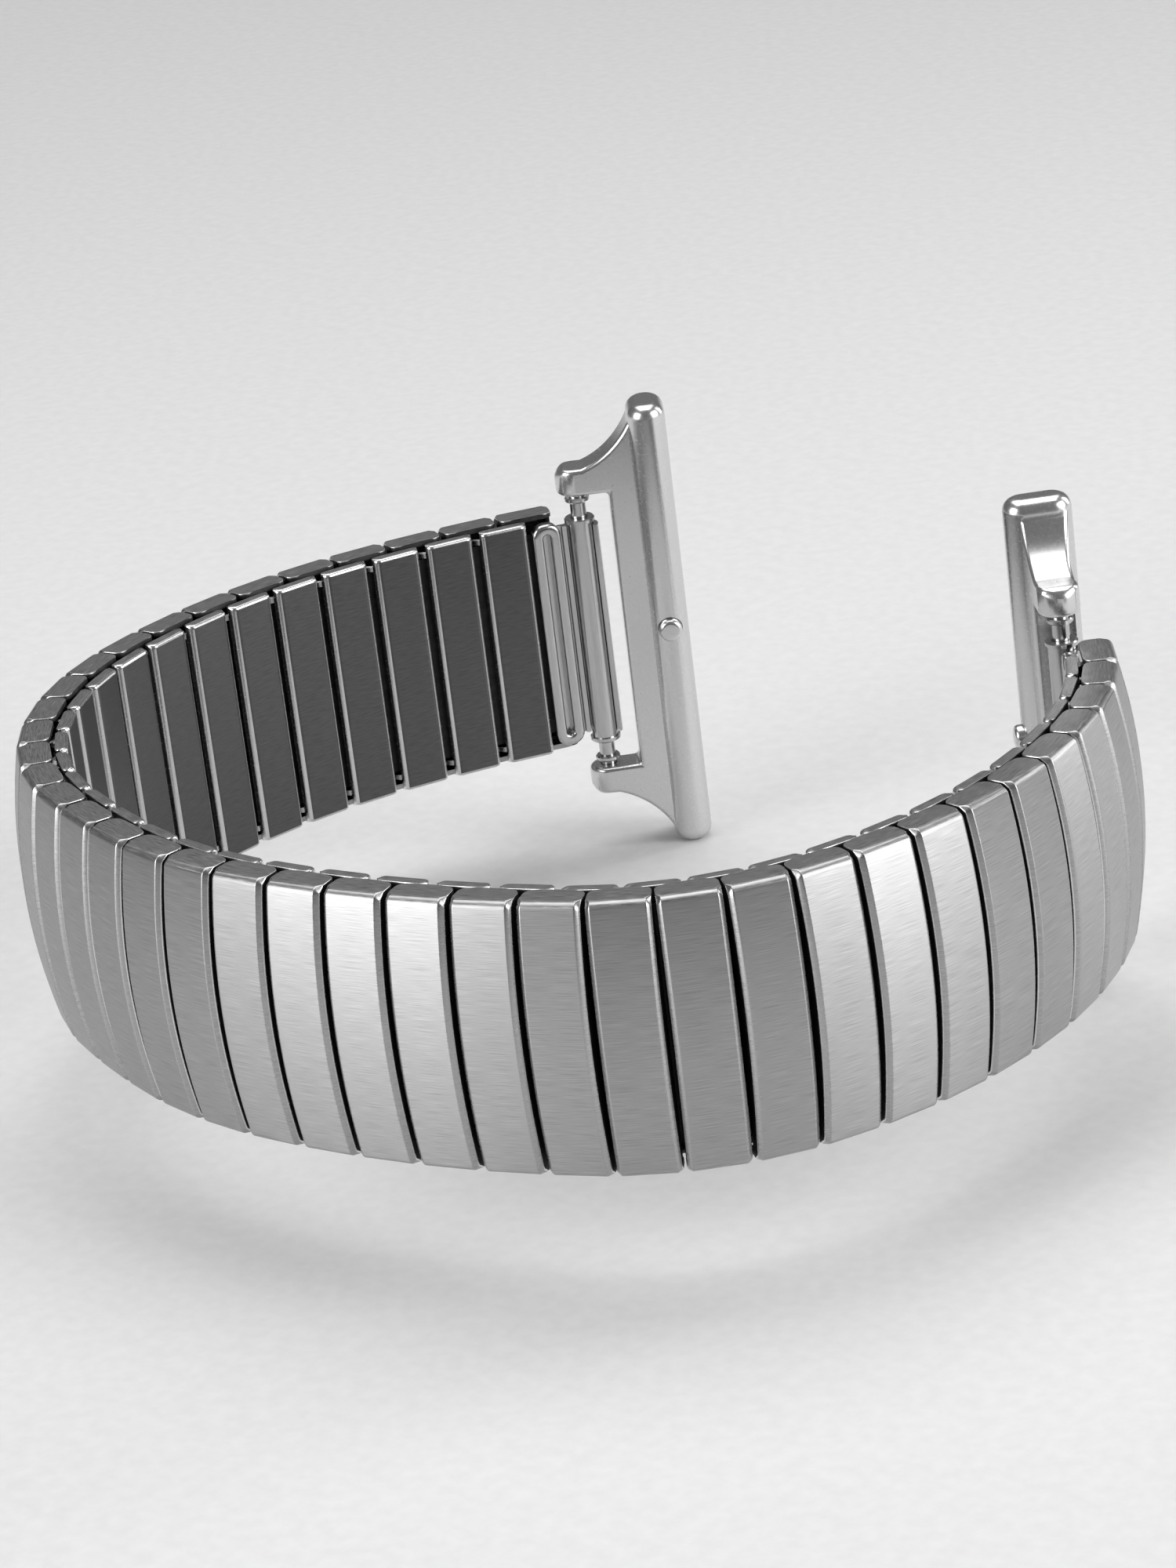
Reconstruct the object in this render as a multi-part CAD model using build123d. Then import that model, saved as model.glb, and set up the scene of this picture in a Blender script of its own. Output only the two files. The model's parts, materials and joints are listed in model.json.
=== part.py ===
from build123d import *
import math
import os

os.makedirs("parts", exist_ok=True)

# Expansion watch band, looped as if on a wrist and standing on its edge.
# Lengths are in millimetres and angles in degrees. The links are counted from the right end,
# clockwise as seen from above, and +Z runs along the width of the band.

# Run of links
link_count = 39
link_pitch = 4.1
first_heading = 317.0
bend_zones = [(2, 9.0), (7, 6.5), (4, 11.0), (5, 3.9), (3, 6.7), (2, 3.6), (7, 8.7), (5, 5.7), (3, 3.5)]
flex_joint_count = 11
stretch_travel = 1.25

# Outer link: a crowned cap folded over a sleeve
band_width = 17.2
link_gap = 0.38
crown_rise = 1.0
cap_depth = 2.05
cap_wall = 0.35
cap_skirt = 1.0
edge_bevel = 0.3
fold_radius = 0.32
end_corner_radius = 0.55
sleeve_wall = 0.15
sleeve_clearance = 0.05
sleeve_drop = 0.3
bow_room = 0.95

# Inner link: a flat closed sleeve
row_gap = 0.35
inner_length = 3.3
inner_depth = 0.85
inner_inset = 0.15
inner_wall = 0.19
inner_end_wall = 0.3
inner_corner_radius = 0.35
inner_rim_bevel = 0.08

# Bows: flat staples, two at each edge of each pitch
leg_width = 0.4
leg_thickness = 0.28
leg_reach = 2.6
leg_clearance = 0.08
bight_width = 0.5
bight_thickness = 0.4
bight_clearance = 0.15
fixed_leg_setback = 0.6
fixed_leg_depth = 0.8
sliding_leg_depth = 1.65
inner_leg_spread = 0.75

# Leaf springs, one in each sleeve
leaf_width = 1.8
leaf_thickness = 0.15
leaf_end_gap = 0.45
outer_leaf_rise = 0.75
inner_leaf_rise = 0.18
leaf_seat_gap = 0.05

# End hooks, which hold the spring bars
hook_thickness = 0.3
hook_side_gap = 0.3
hook_clearance = 0.05
hook_strap_start = 0.2
hook_wrap_start = -40.0
hook_wrap_end = 165.0
bar_reach = 1.45
bar_depth = 2.9
loop_start = 0.05
loop_strip = 0.75
loop_slot = 0.5
loop_depth = 0.8
loop_inset = 0.5
loop_corner_radius = 0.85
loop_edge_radius = 0.22

# Spring bars
bar_radius = 0.9
bar_bore_radius = 0.6
bar_flange_radius = 1.05
bar_flange_length = 0.3
tip_radius = 0.55
tip_tail = 3.0
tip_ring_radius = 0.85
tip_ring_length = 0.35
tip_ring_gap = 0.3
tip_engagement = 1.0
tip_press_gap = 0.15
coil_wire_radius = 0.11
coil_radius = 0.42
coil_end_gap = 0.05
coil_turns = 14

# Adapters
left_adapter_turn = 14.0
right_adapter_turn = 5.0
ear_gap = 20.0
ear_thickness = 1.9
ear_radius = 1.35
ear_corner_radius = 0.75
ear_hole_radius = 0.6
ear_hole_spare = 0.15
ear_length = 0.5
web_start = 2.2
web_end = 4.3
wing_span = 31.0
wing_sag = 0.75
outer_face_rise = 0.5
slide_bar_reach = 5.3
slide_bar_width = 2.6
slide_bar_height = 4.4
slide_bar_length = 32.0
slide_bar_dome = 0.9

# Lock buttons in the slide bars
button_radius = 0.8
button_clearance = 0.05
button_length = 1.7
button_proud = 0.5
button_pocket_depth = 1.9

# Worked out from the sizes above
cut_overrun = 1.0
link_length = link_pitch - link_gap
half_width = band_width / 2
sleeve_length = link_length - 2 * cap_wall - 2 * sleeve_clearance
sleeve_half_width = half_width - cap_wall - bow_room
cavity_half = sleeve_length / 2 - sleeve_wall
inner_top = cap_depth + row_gap
inner_bottom = inner_top + inner_depth
inner_half_width = half_width - inner_inset
inner_leg_depth = (inner_top + inner_bottom) / 2
bight_start = sleeve_half_width + bight_clearance
leaf_half_width = bight_start - leg_reach - leaf_end_gap
sliding_leg_place = cavity_half - leg_width / 2 - leg_clearance - stretch_travel
bar_place = link_pitch / 2 + bar_reach
tip_ring_end = tip_ring_gap + tip_ring_length
bar_length = ear_gap - 2 * (tip_ring_end + tip_engagement + tip_press_gap + bar_flange_length)
hook_width = bar_length - 2 * hook_side_gap
coil_length = bar_length - 2 * (tip_tail + tip_engagement + coil_wire_radius + coil_end_gap)

# Looks along the band: x of a sketch is Z, and y of a sketch is outwards
ACROSS = Plane(origin=(0, 0, 0), x_dir=(0, 0, 1), z_dir=(-1, 0, 0))


def block(x_from, x_to, y_from, y_to, z_from, z_to):
    size = (abs(x_to - x_from), abs(y_to - y_from), abs(z_to - z_from))
    middle = Pos((x_from + x_to) / 2, (y_from + y_to) / 2, (z_from + z_to) / 2)
    return middle * Box(*size)


def rod(radius, z_from, z_to):
    return Pos(0, 0, (z_from + z_to) / 2) * Cylinder(radius, abs(z_to - z_from))


def both_edges(solid):
    return [solid, mirror(solid, about=Plane.XY)]


# Places of the links

def link_turns():
    return [turn for count, turn in bend_zones for _ in range(count)]


def link_headings():
    headings = [first_heading]
    for turn in link_turns():
        headings.append(headings[-1] - turn)
    return headings


def boundary_points():
    points = [Vector(0, 0, 0)]
    for heading in link_headings():
        along = Vector(link_pitch, 0, 0).rotate(Axis.Z, heading)
        points.append(points[-1] + along)
    return points


def place(point, heading):
    return Pos(point.X, point.Y, point.Z) * Rot(0, 0, heading)


headings = link_headings()
boundaries = boundary_points()


def outer_place(number):
    middle = (boundaries[number] + boundaries[number + 1]) / 2
    return place(middle, headings[number])


def inner_place(number):
    return place(boundaries[number], (headings[number - 1] + headings[number]) / 2)


# A point of one link, as another link sees it
def seen_from(viewer, owner, x, y):
    return (viewer.inverse() * owner * Pos(x, y, 0)).position


def flex_joints():
    turns = link_turns()
    share = sum(turns) / flex_joint_count
    chosen = []
    turned = 0
    for number, turn in enumerate(turns, start=1):
        turned += turn
        if turned >= share * (len(chosen) + 0.5) and len(chosen) < flex_joint_count:
            chosen.append(number)
    return chosen


# Outer link

def crowned_profile(half, bottom, top, rise):
    sides = Polyline((half, top), (half, bottom), (-half, bottom), (-half, top))
    crown = ThreePointArc((half, top), (0, top + rise), (-half, top))
    return ACROSS * make_face([sides, crown])


def cap():
    half = link_length / 2
    body = extrude(crowned_profile(half_width, -cap_depth, 0, crown_rise), half, both=True)
    folds = [e for e in body.edges().filter_by(Axis.X) if e.center().Y > -cap_wall]
    body = fillet(folds, fold_radius)
    rims = []
    for face in (body.faces().sort_by(Axis.X)[0], body.faces().sort_by(Axis.X)[-1]):
        rims += [e for e in face.edges() if e.center().Y > -cap_depth + edge_bevel]
    body = chamfer(rims, edge_bevel)
    corner = end_corner_radius
    outline = Polyline(
        (-half, crown_rise + cut_overrun), (-half, corner - cap_depth), (corner - half, -cap_depth),
        (half - corner, -cap_depth), (half, corner - cap_depth), (half, crown_rise + cut_overrun),
        close=True,
    )
    lower = [v for v in make_face(outline).vertices() if v.Y < -cap_depth + corner * 2]
    limits = fillet(lower, corner)
    body = body & extrude(limits, half_width + cut_overrun, both=True)
    hollow = crowned_profile(half_width - cap_wall, -cap_depth - cut_overrun, -cap_wall, crown_rise)
    body -= extrude(hollow, half - cap_wall, both=True)
    inside = half_width - cap_wall
    beyond = half + cut_overrun
    body -= block(-beyond, beyond, -cap_depth - cut_overrun, -cap_skirt, -inside, inside)
    return body.solid()


def outer_sleeve():
    half = sleeve_length / 2
    wide = sleeve_half_width
    shell = block(-half, half, -cap_depth, -sleeve_drop, -wide, wide)
    floor = sleeve_wall - cap_depth
    roof = -sleeve_drop - sleeve_wall
    return (shell - block(-cavity_half, cavity_half, floor, roof, -half_width, half_width)).solid()


# A bowed strip with its ends at one depth and its middle further out
def leaf(end_depth, rise):
    half = leaf_half_width
    low = ThreePointArc((-half, -end_depth), (0, rise - end_depth), (half, -end_depth))
    high = ThreePointArc(
        (-half, leaf_thickness - end_depth),
        (0, leaf_thickness + rise - end_depth),
        (half, leaf_thickness - end_depth),
    )
    left = Line(low @ 0, high @ 0)
    right = Line(low @ 1, high @ 1)
    strip = ACROSS * make_face([low, right, high, left])
    return extrude(strip, leaf_width / 2, both=True).solid()


def outer_leaf():
    middle_depth = sleeve_drop + sleeve_wall + leaf_seat_gap + leaf_thickness
    return leaf(middle_depth + outer_leaf_rise, outer_leaf_rise)


# Inner link

def inner_sleeve():
    half = inner_length / 2
    wide = inner_half_width
    body = block(-half, half, -inner_bottom, -inner_top, -wide, wide)
    body = fillet(body.edges().filter_by(Axis.Z), inner_corner_radius)
    ends = body.faces().sort_by(Axis.Z)
    body = chamfer(ends[0].edges() + ends[-1].edges(), inner_rim_bevel)
    hollow = half - sleeve_wall
    floor = inner_wall - inner_bottom
    roof = -inner_top - inner_wall
    deep = wide - inner_end_wall
    body -= block(-hollow, hollow, floor, roof, -deep, deep)
    window = half - inner_corner_radius
    for side in (-1, 1):
        body -= block(-window, window, floor, cut_overrun - inner_top, side * sleeve_half_width, side * deep)
    return body.solid()


def inner_leaf():
    middle_depth = inner_top + inner_wall + leaf_seat_gap + leaf_thickness
    return leaf(middle_depth + inner_leaf_rise, inner_leaf_rise)


# A bow joins a leg in an outer sleeve to a leg in an inner sleeve, and lies in the inner link's frame
def bow(outer_leg, inner_leg):
    z_end = bight_start + bight_thickness
    z_tail = bight_start - leg_reach
    half_leg = leg_width / 2
    half_thick = leg_thickness / 2
    span = inner_leg - outer_leg
    angle = math.degrees(math.atan2(span.Y, span.X))
    strap = Rot(0, 0, angle) * SlotCenterToCenter(span.length, bight_width)
    middle = (outer_leg + inner_leg) / 2
    staple = Pos(middle.X, middle.Y, bight_start) * extrude(strap, bight_thickness)
    for leg in (outer_leg, inner_leg):
        staple += Pos(leg.X, leg.Y, 0) * block(-half_leg, half_leg, -half_thick, half_thick, z_tail, z_end)
    return both_edges(staple.solid())


def fixed_bows(number):
    here = inner_place(number)
    outer_leg = seen_from(here, outer_place(number), -fixed_leg_setback, -fixed_leg_depth)
    return bow(outer_leg, Vector(inner_leg_spread, -inner_leg_depth, 0))


def sliding_bows(number):
    here = inner_place(number)
    outer_leg = seen_from(here, outer_place(number - 1), sliding_leg_place, -sliding_leg_depth)
    return bow(outer_leg, Vector(-inner_leg_spread, -inner_leg_depth, 0))


# End hook, drawn beyond the last link's left end

# A flat loop under the last cap, which stiffens the hook
def end_loop():
    width = 2 * loop_strip + loop_slot
    length = 2 * (half_width - loop_inset)
    outline = RectangleRounded(width, length, loop_corner_radius)
    outline -= SlotOverall(length - 2 * loop_strip, loop_slot, rotation=90)
    middle = (loop_start + width / 2, -cap_depth - hook_thickness, 0)
    under = Plane(origin=middle, x_dir=(1, 0, 0), z_dir=(0, -1, 0))
    plate = extrude(under * outline, loop_depth)
    return fillet(plate.faces().sort_by(Axis.Y)[0].edges(), loop_edge_radius)


def end_hook():
    half = hook_width / 2
    inside = bar_radius + hook_clearance
    outside = inside + hook_thickness
    axis = Pos(bar_place, -bar_depth, 0)
    ring = axis * Cylinder(outside, hook_width)
    reach = outside + cut_overrun
    fan = [(0, 0)]
    steps = 4
    for step in range(steps + 1):
        turn = math.radians(hook_wrap_start + (hook_wrap_end - hook_wrap_start) * step / steps)
        fan.append((2 * reach * math.cos(turn), 2 * reach * math.sin(turn)))
    keep = axis * extrude(make_face(Polyline(*fan, close=True)), half, both=True)
    strap_bottom = cap_depth + hook_thickness
    strap = block(hook_strap_start, bar_place - inside / 2, -strap_bottom, -cap_depth, -half, half)
    hook = (ring & keep) + strap + end_loop()
    return (hook - axis * Cylinder(inside, hook_width + cut_overrun)).solid()


def spring_bar_tube():
    half = bar_length / 2
    tube = rod(bar_radius, -half, half)
    for side in (-1, 1):
        tube += rod(bar_flange_radius, side * half, side * (half + bar_flange_length))
    full = half + bar_flange_length + cut_overrun
    return (tube - rod(bar_bore_radius, -full, full)).solid()


def spring_bar_coil():
    path = Helix(pitch=coil_length / coil_turns, height=coil_length, radius=coil_radius)
    section = Plane(origin=path @ 0, z_dir=path % 0) * Circle(coil_wire_radius)
    return Pos(0, 0, -coil_length / 2) * sweep(section, path=path).solid()


def spring_bar_tip(side):
    end = ear_gap / 2 + tip_engagement
    tail = bar_length / 2 - tip_tail
    ring = ear_gap / 2 - tip_ring_gap
    tip = rod(tip_radius, side * tail, side * end)
    tip += rod(tip_ring_radius, side * (ring - tip_ring_length), side * ring)
    return tip.solid()


# Adapter: its pivot is at the origin, its slide bar lies along +X, and +Y is outwards

def adapter():
    ear_outside = ear_gap / 2 + ear_thickness
    tip = wing_span / 2
    sag_x = (ear_length + web_end) / 2
    sag_z = (ear_outside + tip) / 2 - wing_sag
    nose = -ear_radius
    upper = Polyline((web_end, 0), (web_start, 0), (web_start, ear_gap / 2), (nose, ear_gap / 2),
                     (nose, ear_outside), (ear_length, ear_outside))
    sweep_arc = ThreePointArc((ear_length, ear_outside), (sag_x, sag_z), (web_end, tip))
    closing = Line((web_end, tip), (web_end, 0))
    half_plan = make_face([upper, sweep_arc, closing])
    corner = [v for v in half_plan.vertices() if v.X < nose / 2 and v.Y > ear_gap / 2 + ear_thickness / 2]
    half_plan = fillet(corner, ear_corner_radius)
    flat = Plane(origin=(0, 0, 0), x_dir=(1, 0, 0), z_dir=(0, -1, 0))
    half_body = extrude(flat * half_plan, slide_bar_height, both=True)
    plan = half_body + mirror(half_body, about=Plane.XY)
    outer_y = ear_radius + outer_face_rise
    nose_arc = ThreePointArc((0, ear_radius), (-ear_radius, 0), (0, -ear_radius))
    outer_face = ThreePointArc((0, ear_radius), (web_start, ear_radius), (web_end, outer_y))
    side = Polyline((0, -ear_radius), (web_end, -ear_radius), (web_end, outer_y))
    profile = make_face([nose_arc, outer_face, side])
    body = plan & extrude(profile, slide_bar_length, both=True)
    body += slide_bar()
    for edge in (-1, 1):
        depth = ear_gap / 2 + tip_engagement + ear_hole_spare
        body -= rod(ear_hole_radius, edge * (ear_gap / 2 - cut_overrun), edge * depth)
    pocket = Pos(slide_bar_reach, 0, 0) * Rot(90, 0, 0) * Pos(0, 0, slide_bar_height / 2)
    depth = button_pocket_depth
    body -= pocket * rod(button_radius + button_clearance, -depth, cut_overrun)
    return body.solid()


def slide_bar():
    section = SlotOverall(slide_bar_height, slide_bar_width, rotation=90)
    bar = extrude(section, slide_bar_length / 2, both=True)
    ends = bar.faces().sort_by(Axis.Z)
    bar = fillet(ends[0].edges() + ends[-1].edges(), slide_bar_dome)
    return Pos(slide_bar_reach, 0, 0) * bar


def lock_button():
    top = slide_bar_height / 2 + button_proud
    pin = rod(button_radius, top - button_length, top)
    crown = pin.faces().sort_by(Axis.Z)[-1].edges()
    pin = fillet(crown, button_radius / 2)
    return (Pos(slide_bar_reach, 0, 0) * Rot(90, 0, 0) * pin).solid()


# Whole band, node by node, with the middle of the band's width at height 0

cap_solid = cap()
sleeve_solid = outer_sleeve()
outer_leaf_solid = outer_leaf()
inner_solid = inner_sleeve()
inner_leaf_solid = inner_leaf()
hook_solid = end_hook()
flexing = flex_joints()
last = link_count - 1
nodes = {}


def outer_link(number):
    here = outer_place(number)
    return [here * solid for solid in (cap_solid, sleeve_solid, outer_leaf_solid)]


def inner_link(number):
    here = inner_place(number)
    fixed = [inner_solid, inner_leaf_solid]
    return [here * solid for solid in fixed + fixed_bows(number) + sliding_bows(number)]


for number in range(link_count):
    label = f"{number + 1:02d}"
    outer = outer_link(number)
    inner = inner_link(number) if number > 0 else []
    if number == 0:
        outer.append(outer_place(0) * mirror(hook_solid, about=Plane.YZ))
    if number == last:
        outer.append(outer_place(last) * hook_solid)
    if number in flexing:
        nodes["outer_link_" + label] = outer
        nodes["inner_link_" + label] = inner
    else:
        nodes["link_" + label] = outer + inner

right_pivot = outer_place(0) * Pos(-bar_place, -bar_depth, 0)
left_pivot = outer_place(last) * Pos(bar_place, -bar_depth, 0)
bar_solids = [spring_bar_tube(), spring_bar_coil()]
adapter_solid = adapter()
button_solid = lock_button()
right_adapter_place = right_pivot * Rot(0, 0, right_adapter_turn)
left_adapter_place = left_pivot * Rot(0, 0, -left_adapter_turn)

for side, pivot in (("right", right_pivot), ("left", left_pivot)):
    nodes["spring_bar_" + side] = [pivot * solid for solid in bar_solids]
    nodes["spring_bar_tip_upper_" + side] = [pivot * spring_bar_tip(1)]
    nodes["spring_bar_tip_lower_" + side] = [pivot * spring_bar_tip(-1)]
for name, solid in (("adapter", adapter_solid), ("lock_button", button_solid)):
    nodes[name + "_left"] = [left_adapter_place * solid]
    nodes[name + "_right"] = [right_adapter_place * mirror(solid, about=Plane.YZ)]

# The origin is under the middle of the whole band, at the height of its lowest point
box = Compound([solid for solids in nodes.values() for solid in solids]).bounding_box()
shift = Vector(-box.center().X, -box.center().Y, -box.min.Z)

if __name__ == "__main__":
    for name, solids in nodes.items():
        moved = [Pos(shift.X, shift.Y, shift.Z) * solid for solid in solids]
        export_step(Compound(moved), f"parts/{name}.step")
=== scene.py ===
import bmesh
import bpy
import json
import math
from mathutils import Matrix, Vector


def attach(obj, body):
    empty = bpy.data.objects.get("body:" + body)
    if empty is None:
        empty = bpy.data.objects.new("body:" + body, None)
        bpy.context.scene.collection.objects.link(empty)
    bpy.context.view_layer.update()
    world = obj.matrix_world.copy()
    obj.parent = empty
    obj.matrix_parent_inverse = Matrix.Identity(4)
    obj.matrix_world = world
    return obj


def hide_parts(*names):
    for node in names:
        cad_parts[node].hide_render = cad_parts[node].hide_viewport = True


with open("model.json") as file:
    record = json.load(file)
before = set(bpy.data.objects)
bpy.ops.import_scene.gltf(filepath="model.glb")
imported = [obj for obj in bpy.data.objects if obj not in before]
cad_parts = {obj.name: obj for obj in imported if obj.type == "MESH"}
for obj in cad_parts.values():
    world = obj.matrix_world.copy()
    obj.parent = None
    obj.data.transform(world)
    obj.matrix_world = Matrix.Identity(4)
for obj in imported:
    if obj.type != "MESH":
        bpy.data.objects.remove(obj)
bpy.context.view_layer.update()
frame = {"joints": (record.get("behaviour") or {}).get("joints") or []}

# Everything is modelled in millimetres in the frame of its link or pivot: x along the band, y outwards and z
# across it. Each piece is then moved to its place on the loop and scaled to metres.
mm = 0.001
alongBand, outwards, acrossBand = 0, 1, 2

band = {
    "linkCount": 39, "pitch": 4.1, "firstHeading": 317.0,
    "bends": [(2, 9.0), (7, 6.5), (4, 11.0), (5, 3.9), (3, 6.7), (2, 3.6), (7, 8.7), (5, 5.7), (3, 3.5)],
    "width": 17.2, "gap": 0.28, "rowGap": 0.35, "bowRoom": 0.95, "barReach": 1.45, "barDepth": 2.9,
}


# Materials

noiseRange = (0.3, 0.7)  # most of a noise lies between these
noiseFade = 0.6  # how much of its strength a noise keeps in each finer layer
quarterTurn = 0.25  # the shader counts in whole turns


def makeMaterial(name, colour, roughness, metallic=1.0):
    material = bpy.data.materials.new(name)
    material.use_nodes = True
    nodes, links = material.node_tree.nodes, material.node_tree.links
    shader = nodes["Principled BSDF"]
    shader.inputs["Base Color"].default_value = (*colour, 1)
    shader.inputs["Roughness"].default_value = roughness
    shader.inputs["Metallic"].default_value = metallic
    return material, nodes, links, shader


# Noise stretched over the piece's own brush map: "grains" is how many lie in a millimetre, along and across
def stretchedNoise(nodes, links, grains, detail):
    brushMap = nodes.new("ShaderNodeUVMap")
    brushMap.uv_map = "brush"
    stretch = nodes.new("ShaderNodeMapping")
    stretch.inputs["Scale"].default_value = (*grains, 1)
    links.new(brushMap.outputs["UV"], stretch.inputs["Vector"])
    noise = nodes.new("ShaderNodeTexNoise")
    noise.inputs["Scale"].default_value = 1
    noise.inputs["Detail"].default_value = detail
    noise.inputs["Roughness"].default_value = noiseFade
    links.new(stretch.outputs["Vector"], noise.inputs["Vector"])
    return noise.outputs["Fac"]


# Spreads a noise over a span of roughness
def spread(nodes, links, source, smooth, rough, target):
    remap = nodes.new("ShaderNodeMapRange")
    remap.inputs["From Min"].default_value, remap.inputs["From Max"].default_value = noiseRange
    remap.inputs["To Min"].default_value = smooth
    remap.inputs["To Max"].default_value = rough
    links.new(source, remap.inputs["Value"])
    links.new(remap.outputs["Result"], target)


# Turns a noise into greys
def tint(nodes, links, source, dark, light, target):
    ramp = nodes.new("ShaderNodeValToRGB")
    for stop, position, grey in zip(ramp.color_ramp.elements, noiseRange, (dark, light)):
        stop.position = position
        stop.color = (grey, grey, grey, 1)
    links.new(source, ramp.inputs["Fac"])
    links.new(ramp.outputs["Color"], target)


# Turns a noise into a fine relief, "depth" millimetres deep
def grain(nodes, links, source, depth, shader):
    bump = nodes.new("ShaderNodeBump")
    bump.inputs["Strength"].default_value = 1
    bump.inputs["Distance"].default_value = depth * mm
    links.new(source, bump.inputs["Height"])
    links.new(bump.outputs["Normal"], shader.inputs["Normal"])


# Highlights are drawn out at right angles to the brush lines
def brushDirection(nodes, links, shader, stretch):
    shader.inputs["Anisotropic"].default_value = stretch
    shader.inputs["Anisotropic Rotation"].default_value = quarterTurn
    tangent = nodes.new("ShaderNodeTangent")
    tangent.direction_type = "UV_MAP"
    tangent.uv_map = "brush"
    links.new(tangent.outputs["Tangent"], shader.inputs["Tangent"])


# A brushed finish takes its colour and relief from the fine lines and its roughness from the broad ones
brushLines = {"fine": (0.5, 30), "fineDetail": 2, "broad": (0.4, 5), "broadDetail": 1}
brushedFinish = {"dark": 0.33, "light": 0.52, "smooth": 0.34, "rough": 0.38, "depth": 0.0009, "stretch": 0.9}
# Painted shade: the bevel steel is a slightly darker copy of the brushed steel, for the chamfers along the
# crown
bevelShadeFinish = {"dark": 0.32, "light": 0.48, "smooth": 0.26, "rough": 0.32, "depth": 0.0008, "stretch": 0.8}

# A plain finish takes all three from one noise
plainDetail = 4
plainKeys = ("dark", "light", "smooth", "rough", "depth", "grains")
polishedFinish = dict(zip(plainKeys, (0.66, 0.71, 0.24, 0.28, 0.0001, (5, 5))))
satinFinish = dict(zip(plainKeys, (0.27, 0.50, 0.32, 0.42, 0.0015, (1, 12))))
# Painted shade: a near-black copy of the steel for the inner links' wrist side, which lies in shade
innerShadedFinish = dict(zip(plainKeys, (0.10, 0.14, 0.34, 0.44, 0.001, (1, 10))))
shadedFinish = dict(zip(plainKeys, (0.05, 0.08, 0.5, 0.6, 0.001, (1.5, 1.5))))
steelFinish = dict(zip(plainKeys, (0.50, 0.58, 0.16, 0.26, 0.0005, (6, 0.8))))


def brushedSteel(name, finish):
    material, nodes, links, shader = makeMaterial(name, (0.45, 0.45, 0.45), 0.3)
    fine = stretchedNoise(nodes, links, brushLines["fine"], brushLines["fineDetail"])
    broad = stretchedNoise(nodes, links, brushLines["broad"], brushLines["broadDetail"])
    tint(nodes, links, fine, finish["dark"], finish["light"], shader.inputs["Base Color"])
    spread(nodes, links, broad, finish["smooth"], finish["rough"], shader.inputs["Roughness"])
    grain(nodes, links, fine, finish["depth"], shader)
    brushDirection(nodes, links, shader, finish["stretch"])
    return material


def plainSteel(name, finish):
    material, nodes, links, shader = makeMaterial(name, (0.5, 0.5, 0.5), 0.3)
    noise = stretchedNoise(nodes, links, finish["grains"], plainDetail)
    tint(nodes, links, noise, finish["dark"], finish["light"], shader.inputs["Base Color"])
    spread(nodes, links, noise, finish["smooth"], finish["rough"], shader.inputs["Roughness"])
    grain(nodes, links, noise, finish["depth"], shader)
    return material


materials = {
    "brushed": brushedSteel("brushedSteel", brushedFinish),
    "bevel": brushedSteel("bevelShadedSteel", bevelShadeFinish),
    "polished": plainSteel("polishedSteel", polishedFinish),
    "satin": plainSteel("satinSteel", satinFinish),
    "inner": plainSteel("innerShadedSteel", innerShadedFinish),
    "shaded": plainSteel("shadedSteel", shadedFinish),
    "steel": plainSteel("turnedSteel", steelFinish),
}
print("materials made")


# Places on the loop

def turned(heading):
    return Matrix.Rotation(math.radians(heading), 4, "Z")


headings = [band["firstHeading"]]
for count, turn in band["bends"]:
    for link in range(count):
        headings.append(headings[-1] - turn)
boundaries = [Vector((0, 0, 0))]
for heading in headings:
    boundaries.append(boundaries[-1] + turned(heading) @ Vector((band["pitch"], 0, 0)))


def outerPlace(number):
    middle = (boundaries[number] + boundaries[number + 1]) / 2
    return Matrix.Translation(middle) @ turned(headings[number])


def innerPlace(number):
    return Matrix.Translation(boundaries[number]) @ turned((headings[number - 1] + headings[number]) / 2)


last = band["linkCount"] - 1
barPlace = band["pitch"] / 2 + band["barReach"]
rightPivot = outerPlace(0) @ Matrix.Translation((-barPlace, -band["barDepth"], 0))
leftPivot = outerPlace(last) @ Matrix.Translation((barPlace, -band["barDepth"], 0))
mirrored = Matrix.Scale(-1, 4, (1, 0, 0))

# The frame gives the pivots' places and the pitches that flex
jointPlaces = {joint["name"]: Vector(joint["pos_m"]) for joint in frame["joints"] if "pos_m" in joint}
flexing = [int(name[-2:]) - 1 for name in jointPlaces if name.startswith("flex_")]
ontoPivot = Matrix.Translation(jointPlaces["adapter_pivot_right"] / mm - rightPivot.translation)
intoFrame = Matrix.Scale(mm, 4) @ ontoPivot
print("loop laid out from", len(headings), "links")


# Mesh helpers

near = 0.01  # a point this close to a plane counts as on it
leaning, steep, facing, square = 0.05, 0.5, 0.9, 0.99  # shares of a unit normal that lie along an axis
doubles = {"turned": 0.0005, "bevel": 0.001, "edge": 0.005, "plan": 0.03}  # points this near are merged
roundSteps = 24


def placed(thing):
    bpy.context.scene.collection.objects.link(thing)
    return thing


def boxShape(bm, low, high):
    low, high = Vector(low), Vector(high)
    verts = bmesh.ops.create_cube(bm, size=1)["verts"]
    bmesh.ops.scale(bm, vec=high - low, verts=verts)
    bmesh.ops.translate(bm, vec=(low + high) / 2, verts=verts)
    return list({face for vert in verts for face in vert.link_faces})


# Extrudes faces by a step, and takes the first ones away where they sink into the shape
def pushed(bm, faces, step, sunk=False):
    made = bmesh.ops.extrude_face_region(bm, geom=faces)["geom"]
    if sunk:
        bmesh.ops.delete(bm, geom=faces, context="FACES_ONLY")
    verts = [item for item in made if isinstance(item, bmesh.types.BMVert)]
    bmesh.ops.translate(bm, vec=step, verts=verts)
    return verts


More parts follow.
